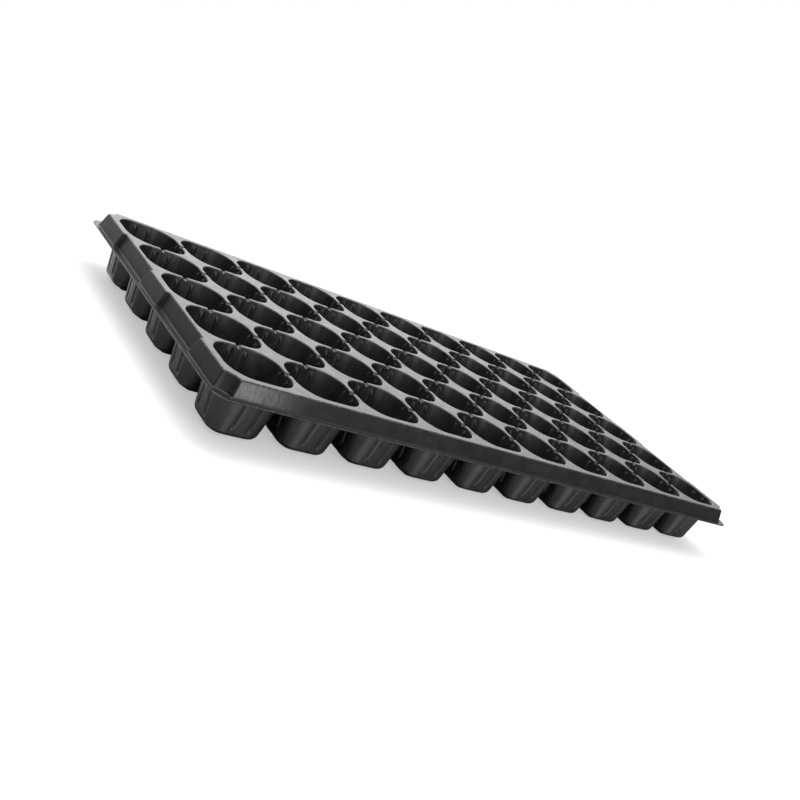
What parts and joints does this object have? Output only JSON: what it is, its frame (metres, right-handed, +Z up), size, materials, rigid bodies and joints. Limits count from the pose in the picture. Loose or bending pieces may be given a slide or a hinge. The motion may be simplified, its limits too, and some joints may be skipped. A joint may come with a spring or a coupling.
{
  "type": "plug tray",
  "caption": "Rectangular nursery plug tray with tapered square cells, square feet with drain holes, linked webs, and a turned-down rim with a flange and corner lugs.",
  "frame": {"origin": "centre of the tray in plan, on the plane that the feet stand on", "axes": "+X along the long side, +Y from the front long side to the back one, +Z up out of the cells"},
  "size_m": [0.54, 0.28, 0.045],
  "materials": {
    "deck_plastic": "satin black polystyrene sheet, grey sheen under light, fine grain",
    "cell_plastic": "satin black polystyrene, drawn thin, with soft vertical draw marks",
    "foot_plastic": "black polystyrene, scuffed lighter on the flat feet",
    "rim_plastic": "satin black polystyrene sheet"
  },
  "bodies": {
    "root": {"deck_web": "deck_plastic", "cell_row_1": "cell_plastic", "cell_row_2": "cell_plastic", "cell_row_3": "cell_plastic", "cell_row_4": "cell_plastic", "cell_row_5": "cell_plastic", "foot_pads_row_1": "foot_plastic", "foot_pads_row_2": "foot_plastic", "foot_pads_row_3": "foot_plastic", "foot_pads_row_4": "foot_plastic", "foot_pads_row_5": "foot_plastic", "skirt_front": "rim_plastic", "skirt_back": "rim_plastic", "skirt_left": "rim_plastic", "skirt_right": "rim_plastic", "corner_scoops": "rim_plastic", "rim_flange": "rim_plastic", "corner_lugs": "rim_plastic"}
  },
  "joints": []
}
